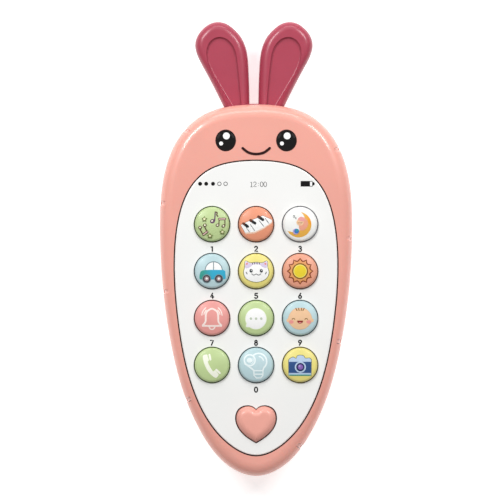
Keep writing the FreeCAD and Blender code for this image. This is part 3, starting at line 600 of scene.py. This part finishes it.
def car(c):
    """A small car, green at its left end and blue at its right."""
    body = [(-4.9, -2.9), (-4.8, -1.2), (-4.1, 0.1), (-2.0, 0.45), (2.0, 0.5), (4.9, 0.3), (5.3, -1.0),
            (5.4, -2.6), (4.6, -3.2), (0, -3.3), (-4.2, -3.3)]
    wheels = (-2.1, 2.7)
    return [
        (c["steel"], [solid(arc(0.7, 0.3, 3.55, 0, 180, 3.6))]),
        (c["white"], [solid(arc(0.7, 0.3, 3.2, 0, 180, 3.2))]),
        (c["steel"], stroke([(0.62, 0.3), (0.62, 3.5)], 0.36)),
        (c["car"], [solid(smooth(body, True))]),
        (c["steel"], [ellipse(x, -3.0, 1.75) for x in wheels]),
        (c["charcoal"], [ellipse(x, -3.0, 1.45) for x in wheels]),
        (c["mauve"], [ellipse(x, -3.0, 0.95) for x in wheels]),
        (c["white"], [ellipse(x, -2.95, 0.45) for x in wheels]),
    ]


def cat(c):
    """A plain cat's face."""
    head = smooth([(-4.2, 3.9), (-2.3, 3.2), (0.1, 3.4), (2.4, 3.2), (4.3, 3.9), (4.5, 1.7), (5.0, -0.9),
                   (3.6, -3.2), (0.1, -4.3), (-3.5, -3.2), (-4.8, -0.9), (-4.4, 1.6)], True)
    crown = smooth([(-4.1, 3.8), (-2.3, 3.1), (0.1, 3.3), (2.4, 3.1), (4.2, 3.8), (4.2, 1.4), (2.6, 1.6),
                    (1.2, 2.6), (-1.0, 2.6), (-2.5, 1.5), (-4.2, 1.2)], True)
    stripes = [loop for x in (-1.4, -0.5, 0.4, 1.3) for loop in stroke([(x, 3.25), (x, 2.8)], 0.32)]
    eyes = [ellipse(-1.95, 0.15, 0.62, 0.72), ellipse(2.1, 0.15, 0.62, 0.72)]
    glints = [ellipse(-1.8, 0.35, 0.22), ellipse(2.25, 0.35, 0.22)]
    mouth = stroke(smooth([(-1.7, -1.05), (-0.9, -1.55), (0.08, -1.15), (1.05, -1.55), (1.9, -1.05)]), 0.26)
    ears = [ellipse(-3.6, 2.9, 0.5, 0.35, 50), ellipse(3.7, 2.9, 0.5, 0.35, -50)]
    cheeks = stroke([(-3.9, -0.4), (-3.5, -1.1)], 0.3) + stroke([(4.1, -0.4), (3.7, -1.1)], 0.3)
    return [
        (c["olive"], contour(head, 0.42)),
        (c["white"], [solid(head)]),
        (c["lavender"], [solid(crown)]),
        (c["rose"], ears),
        (c["charcoal"], stripes + eyes + mouth + cheeks),
        (c["white"], glints),
    ]


def sun(c):
    """A round sun with twelve pointed rays."""
    rays = 12
    outline = []
    for k in range(rays):
        tip = 90 - k * 360 / rays
        for share, radius in ((0, 5.05), (0.25, 4.25), (0.5, 4.0), (0.75, 4.25)):
            angle = math.radians(tip - share * 360 / rays)
            outline.append((radius * math.cos(angle), radius * math.sin(angle)))
    return [
        (c["amber"], [solid(outline)]),
        (c["rust"], contour(outline, 0.45)),
        (c["umber"], [ellipse(0, 0, 3.1)]),
        (c["butter"], [ellipse(0, 0, 2.65)]),
        (c["sunny"], [ellipse(0, -0.05, 2.35)]),
    ]


def bell(c):
    """The outline of a ringing bell."""
    side = [(0, 3.7), (1.3, 3.15), (2.15, 2.3), (2.45, 0.9), (2.5, -1.0), (2.9, -2.0), (3.9, -3.05)]
    dome = smooth([(-x, y) for x, y in side[:0:-1]] + side) + [(0, -3.1)]
    marks = []
    for middle in (152, 28):
        for radius, span in ((4.0, 24), (3.2, 17)):
            marks += stroke(arc(0, 0.9, radius, middle - span, middle + span), 0.42)
    return [(c["shell"], contour(dome, 0.7) + stroke(arc(0, -3.35, 1.1, 180, 360), 0.5) + marks)]


def bubble(c):
    """A speech bubble with three dots."""
    tail = [(-3.4, -1.6), (-3.95, -3.5), (-1.6, -3.4)]
    return [
        (c["mist"], [ellipse(-0.05, -0.25, 4.25), solid(smooth(tail, True))]),
        (c["white"], [ellipse(-0.05, -0.25, 4.0), solid(tail)]),
        (c["sage"], [ellipse(x, -0.2, 0.5) for x in (-2.05, 0, 2.05)]),
    ]


def baby(c):
    """A plain smiling baby's face."""
    head = smooth([(-4.6, -0.2), (-3.9, 1.7), (-2.3, 3.4), (0.1, 3.9), (2.5, 3.3), (4.0, 1.6), (4.6, -0.3),
                   (4.0, -2.1), (2.1, -3.9), (0, -4.4), (-2.2, -3.9), (-4.0, -2.2)], True)
    tuft = [loop for x, lean in ((-1.2, -0.5), (-0.4, -0.2), (0.4, 0.2), (1.1, 0.5))
            for loop in stroke([(x, 3.0), (x + lean, 3.9)], 0.34)]
    eyes = stroke(arc(-2.6, -0.7, 0.55, 20, 160), 0.28) + stroke(arc(2.4, -0.7, 0.55, 20, 160), 0.28)
    grin = arc(0, -1.0, 1.2, 180, 360, 1.15)
    return [
        (c["sand"], contour(head, 0.3)),
        (c["peach"], [solid(head), ellipse(-4.6, -0.9, 0.75), ellipse(4.6, -0.9, 0.75)]),
        (c["blush"], [ellipse(-3.5, -1.5, 0.95, 0.7), ellipse(3.4, -1.5, 0.95, 0.7)]),
        (c["umber"], tuft + eyes),
        (c["wine"], [solid(grin)]),
        (c["rose"], [ellipse(0, -1.75, 0.6, 0.25)]),
    ]


def handset(c):
    """A telephone receiver."""
    grip = smooth([(-3.6, 3.5), (-2.0, 4.15), (-1.6, 3.2), (-1.2, 1.9), (-1.6, 1.4), (-1.0, -0.2),
                   (0.0, -1.9), (0.6, -2.5), (1.2, -2.0), (2.1, -3.0), (2.6, -3.9), (1.6, -5.0),
                   (0.2, -4.3), (-1.6, -2.4), (-3.0, 0.4)], True)
    caps = stroke([(-1.0, 4.05), (-0.6, 2.2)], 0.8) + stroke([(1.7, -1.85), (3.1, -3.15)], 0.8)
    return [(c["ivory"], [solid(grip)] + caps)]


def bulb(c):
    """A light bulb with a small lens in front of it."""
    glass = arc(1.0, 1.4, 3.2, 150, -52) + [(2.75, -2.2), (-0.7, -2.2), (-2.0, -1.0), (-4.4, 0.6)]
    body = stroke(smooth(arc(1.0, 1.4, 3.2, 132, -50) + [(2.7, -2.1)]), 0.6)
    body += stroke([(-4.4, 0.5), (-2.2, -1.0), (-0.8, -2.2)], 0.6) + stroke([(-0.8, -2.2), (2.7, -2.2)], 0.5)
    foot = stroke([(-0.9, -2.3), (-0.8, -4.1), (0.1, -5.1), (1.8, -5.1), (2.7, -4.1), (2.75, -2.3)], 0.5)
    foot += stroke([(-0.7, -3.6), (2.6, -3.6)], 0.5)
    glint = stroke(arc(0.9, 1.3, 2.1, 80, 15), 0.5)
    lens = ring(-2.5, 1.9, 2.45, 0.6) + [ellipse(-2.5, 1.9, 1.15, 0.95)]
    lens += stroke(arc(-2.5, 1.9, 1.5, 40, -70), 0.25)
    return [
        (c["haze"], [solid(glass)]),
        (c["ice"], body + foot + glint),
        (c["haze"], [ellipse(-2.5, 1.9, 1.85)]),
        (c["ice"], lens),
    ]


def camera_picture(c):
    """A camera with a purple lens."""
    left, right = -4.45, 4.35
    top = smooth([(-4.5, 1.2), (-4.3, 2.2), (-2.8, 3.1), (-1.6, 2.6), (-0.9, 3.7), (1.2, 3.7), (2.0, 2.7),
                  (3.7, 2.7), (4.4, 2.0), (4.4, 1.2)]) + [(4.4, -4.1), (-4.5, -4.1)]
    return [
        (c["olive"], contour(top, 0.4)),
        (c["sky"], [solid(top)]),
        (c["navy"], [solid([(left, 1.3), (right, 1.3), (right, -3.1), (left, -3.1)])]),
        (c["teal"], [solid([(left, -3.75), (right, -3.75), (right, -4.15), (left, -4.15)])]),
        (c["sky"], [ellipse(0.1, -0.8, 2.2)]),
        (c["ink_blue"], [ellipse(0.1, -0.8, 1.65)]),
        (c["violet"], [ellipse(0.15, -0.75, 1.05)]),
        (c["lilac"], [ellipse(-0.2, -0.35, 0.35)]),
    ]


PICTURE_INKS = {
    "olive": "5A5A33", "moss": "66702A", "straw": "F3F2C4", "cream": "F6F4D6", "plum": "6B5068",
    "bark": "604A3E", "blossom": "E9C3BE", "brown": "6A3A2A", "white": "FBFBFA", "slate": "4E565A",
    "bisque": "F3CDB4", "black": "23262A", "honey": "E9B04E", "orange": "F0A030", "apricot": "EBA58C",
    "pink": "E9A3A0", "peach": "F1C79E", "rose": "E58A8A", "lilac": "B9A7D9", "cobalt": "3F7FC4",
    "teal": "3FA79A", "steel": "7E9097", "charcoal": "3C4145", "mauve": "A98F93", "lavender": "D9CCE6",
    "rust": "7E3014", "amber": "E5A066", "umber": "7B5418", "butter": "F4E27C", "sunny": "EBD237",
    "shell": "FBE9E2", "mist": "EEF6DE", "sage": "C3CFBA", "sand": "E3B48C", "blush": "F09A94",
    "wine": "8A2420", "ivory": "FAFCEB", "ice": "EEFAFB", "haze": "C4DDE2", "sky": "B9CFE8",
    "navy": "33548A", "ink_blue": "23305C", "violet": "8A66B5",
}

# Each key's plastic and picture.
KEYS = {
    "button_1": ("key_green", music), "button_2": ("key_orange", piano), "button_3": ("key_white", moon),
    "button_4": ("key_blue", car), "button_5": ("key_yellow", cat), "button_6": ("key_coral", sun),
    "button_7": ("key_rose", bell), "button_8": ("key_green", bubble), "button_9": ("key_blue", baby),
    "button_call": ("key_green", handset), "button_0": ("key_blue", bulb),
    "button_camera": ("key_yellow", camera_picture),
}

# Each plastic's colour, and the darker colour painted on its skirt as the gap's shade.
PLASTICS = {
    "key_green": ("C1D698", "66823A"), "key_orange": ("EC9A78", "8E4A2C"), "key_white": ("F4F5F2", "A0A0AA"),
    "key_blue": ("BDD9DE", "607A82"), "key_yellow": ("EDE082", "8A7C32"), "key_coral": ("EBA286", "985E4A"),
    "key_rose": ("EC9F99", "8C4A47"),
}


def centre_of(node):
    low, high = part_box(node)
    return (low.x + high.x) / 2 / MM, (low.y + high.y) / 2 / MM


def print_keys():
    inks = {name: ink(name, code) for name, code in PICTURE_INKS.items()}
    inks["car"] = ink("car", "3F9F93", "3BAFD2", ("X", -21.0, -17.0))
    for node, (plastic, picture) in KEYS.items():
        printed(node + "_picture", picture(inks), height_of(node), node, centre_of(node),
                spacing=PICTURE_STEP)


# ---- numerals, status bar and face --------------------------------------------------------------

def glyph(letter):
    """Centre lines of a numeral or a colon, one unit high."""
    return {
        "0": [arc(0, 0.5, 0.27, 90, 450, 0.46)],
        "1": [[(-0.14, 0.84), (0.06, 0.96), (0.06, 0.04)]],
        "2": [arc(0, 0.7, 0.25, 165, -35) + [(-0.26, 0.05), (0.28, 0.05)]],
        "3": [arc(0, 0.73, 0.22, 150, -85), arc(0, 0.28, 0.25, 88, -150)],
        "4": [[(0.1, 0.96), (-0.28, 0.27), (0.3, 0.27)], [(0.12, 0.55), (0.12, 0.04)]],
        "5": [[(0.25, 0.95), (-0.17, 0.95), (-0.21, 0.55)] + arc(0, 0.32, 0.28, 125, -145)],
        "6": [arc(0, 0.29, 0.25, 0, 360), [(0.12, 0.96), (-0.19, 0.44)]],
        "7": [[(-0.25, 0.94), (0.25, 0.94), (-0.1, 0.04)]],
        "8": [arc(0, 0.73, 0.2, 0, 360), arc(0, 0.27, 0.25, 0, 360)],
        "9": [arc(0, 0.71, 0.25, 0, 360), [(-0.12, 0.04), (0.19, 0.56)]],
        ":": [[(0, 0.22), (0, 0.24)], [(0, 0.66), (0, 0.68)]],
    }[letter]


def written(letter, x, y, size, weight):
    """A numeral whose middle is at x, y."""
    region = []
    for line in glyph(letter):
        points = [(x + px * size, y + (py - 0.5) * size) for px, py in line]
        closed = math.dist(points[0], points[-1]) < 1e-6
        region += contour(points[:-1], weight) if closed else stroke(points, weight)
    return region


def print_numerals():
    region = []
    for node in KEYS:
        name = node.split("_")[1]
        if name.isdigit():
            x, y = centre_of(node)
            region += written(name, x, y - NUMERAL_DROP, NUMERAL_HEIGHT, NUMERAL_WEIGHT)
    printed("numerals", [(ink("numeral", "161616"), region)], level(PANEL_TOP), "case")


def print_status_bar():
    """Three full dots and two empty ones, a clock, and a battery."""
    black, grey, white = (ink("status_" + name, code)
                          for name, code in (("black", "0E0E0E"), ("grey", "6E6E6E"), ("white", "FFFFFF")))
    dots = [ellipse(x, STATUS_Y, 0.78) for x in (-22.1, -19.7, -17.0)]
    rings = [loop for x in (-14.5, -12.05) for loop in ring(x, STATUS_Y, 0.85, 0.28)]
    clock = []
    for letter, x in zip("12:00", (-1.9, -0.5, 0.9, 2.2, 3.6)):
        clock += written(letter, x, STATUS_Y - 0.2, CLOCK_HEIGHT, CLOCK_WEIGHT)
    clock += stroke([(-2.2, STATUS_Y - 1.2), (-1.4, STATUS_Y - 1.2)], 0.2)
    left, right, low, high = 17.6, 22.3, STATUS_Y - 1.1, STATUS_Y + 1.1
    case = [(left, low), (right, low), (right, high), (left, high)]
    nub = arc(right, STATUS_Y, 0.85, -90, 90, 0.75)
    inset = [(21.3, low + 0.25), (22.15, low + 0.25), (22.15, high - 0.25), (21.3, high - 0.25)]
    layers = [(black, dots + [solid(case), solid(nub)]), (grey, rings + clock), (white, [solid(inset)])]
    printed("status_bar", layers, level(PANEL_TOP), "case")


def print_face():
    """Two round eyes with glints and grey crescents of painted reflection, and a smile."""
    edge, pupil, glint = ink("eye_edge", "2E1210"), ink("pupil", "121010"), ink("glint", "FFFFFF")
    # The grey sheen ink paints the lamps' reflection on the eyes' upper rims.
    sheen = ink("eye_sheen", "2E2A2A")
    layers = []
    for side in (-1, 1):
        x = side * EYE_X
        layers += [
            (edge, [ellipse(x, EYE_Y, 4.08, 4.32)]),
            (pupil, [ellipse(x, EYE_Y, 3.75, 4.0)]),
            (sheen, [solid(arc(x, EYE_Y + 0.1, 3.7, 130, 170) + arc(x + 0.5, EYE_Y, 3.3, 165, 135)),
                     solid(arc(x, EYE_Y + 0.1, 3.7, 50, 12) + arc(x - 0.4, EYE_Y, 3.3, 18, 45))]),
            (glint, [ellipse(x + 0.27, EYE_Y + 1.8, 1.36), ellipse(x - 1.8, EYE_Y - 1.2, 0.78)]),
        ]
    smile = [(-5.3, 39.7), (-3.0, 38.0), (0.05, 37.4), (3.1, 38.0), (5.4, 39.7)]
    layers.append((edge, stroke(smooth(smile), 1.0)))
    printed("face_print", layers, level(FACE), "case")


# ---- set up -------------------------------------------------------------------------------------

def dress(node, material):
    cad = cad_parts[node]
    cad.data.materials.clear()
    cad.data.materials.append(material)


def dress_cad():
    pink = case_pink()
    for node in ("front_shell", "rear_shell", "battery_door"):
        dress(node, pink)
    # The heart's skirt takes a dark brown as painted shade of its gap.
    dress("heart_button", key_plastic("heart_pink", "F4AC9D", "4A1A14", 0.4))
    dress("face_panel", panel_white())
    dress("ear_teether", ear_silicone())
    plastics = {name: key_plastic(name, *codes) for name, codes in PLASTICS.items()}
    for node, (plastic, _) in KEYS.items():
        dress(node, plastics[plastic])
    kinds = plain_kinds()
    for node, material in kinds.items():
        dress(node, material)
    for node, like in SAME_AS.items():
        dress(node, kinds[like])
    jacket = cell_jacket()
    for node in ("battery_1", "battery_2", "battery_3"):
        dress(node, jacket)


def camera():
    data = bpy.data.cameras.new("camera")
    data.sensor_width = 36
    data.lens = data.sensor_width * CAMERA_DISTANCE / (VIEW_WIDTH * MM)
    data.clip_end = 100
    eye = bpy.data.objects.new("camera", data)
    x, y, z = (v * MM for v in VIEW_CENTRE)
    eye.location = (x, y, z + CAMERA_DISTANCE)
    bpy.context.scene.collection.objects.link(eye)
    bpy.context.scene.camera = eye


def softbox(name, place, size, power, tall=None):
    """A rectangular light aimed at the toy. Its place and size are in metres, its power in watts."""
    data = bpy.data.lights.new(name, "AREA")
    data.shape = "RECTANGLE"
    data.size, data.size_y = size, tall or size
    data.energy = power
    lamp = bpy.data.objects.new(name, data)
    lamp.location = place
    lamp.rotation_euler = (Vector((0, 0, 0.02)) - Vector(place)).to_track_quat("-Z", "Y").to_euler()
    bpy.context.scene.collection.objects.link(lamp)


def studio():
    """Two small softboxes above the ears' end, a strip behind them, and an even white room."""
    softbox("left_box", (-0.46, 0.46, 0.78), 0.28, 4.4)
    softbox("right_box", (0.46, 0.46, 0.78), 0.28, 3.8)
    softbox("far_strip", (0.0, 0.85, 0.55), 0.7, 2.4, 0.25)
    world = bpy.data.worlds.new("room")
    world.use_nodes = True
    background = world.node_tree.nodes["Background"]
    background.inputs["Color"].default_value = (1, 1, 1, 1)
    background.inputs["Strength"].default_value = ROOM_LIGHT
    bpy.context.scene.world = world
    bpy.context.scene.view_settings.view_transform = "Standard"


def floor():
    corners = [(-FLOOR_HALF, -FLOOR_HALF, 0), (FLOOR_HALF, -FLOOR_HALF, 0),
               (FLOOR_HALF, FLOOR_HALF, 0), (-FLOOR_HALF, FLOOR_HALF, 0)]
    mesh = bpy.data.meshes.new("floor")
    mesh.from_pydata(corners, [], [(0, 1, 2, 3)])
    surface = Surface("floor", roughness=0.9)
    surface.paint(surface.mottled((FLOOR_GREY,) * 3, 0.005, 4))
    surface.set("Emission Color", (1, 1, 1, 1))
    surface.set("Emission Strength", FLOOR_GLOW)
    mesh.materials.append(surface.material)
    plane = bpy.data.objects.new("floor", mesh)
    plane.location.z = -FLOOR_DROP
    bpy.context.scene.collection.objects.link(plane)


camera()
studio()
floor()
dress_cad()
print_keys()
print_numerals()
print_status_bar()
print_face()
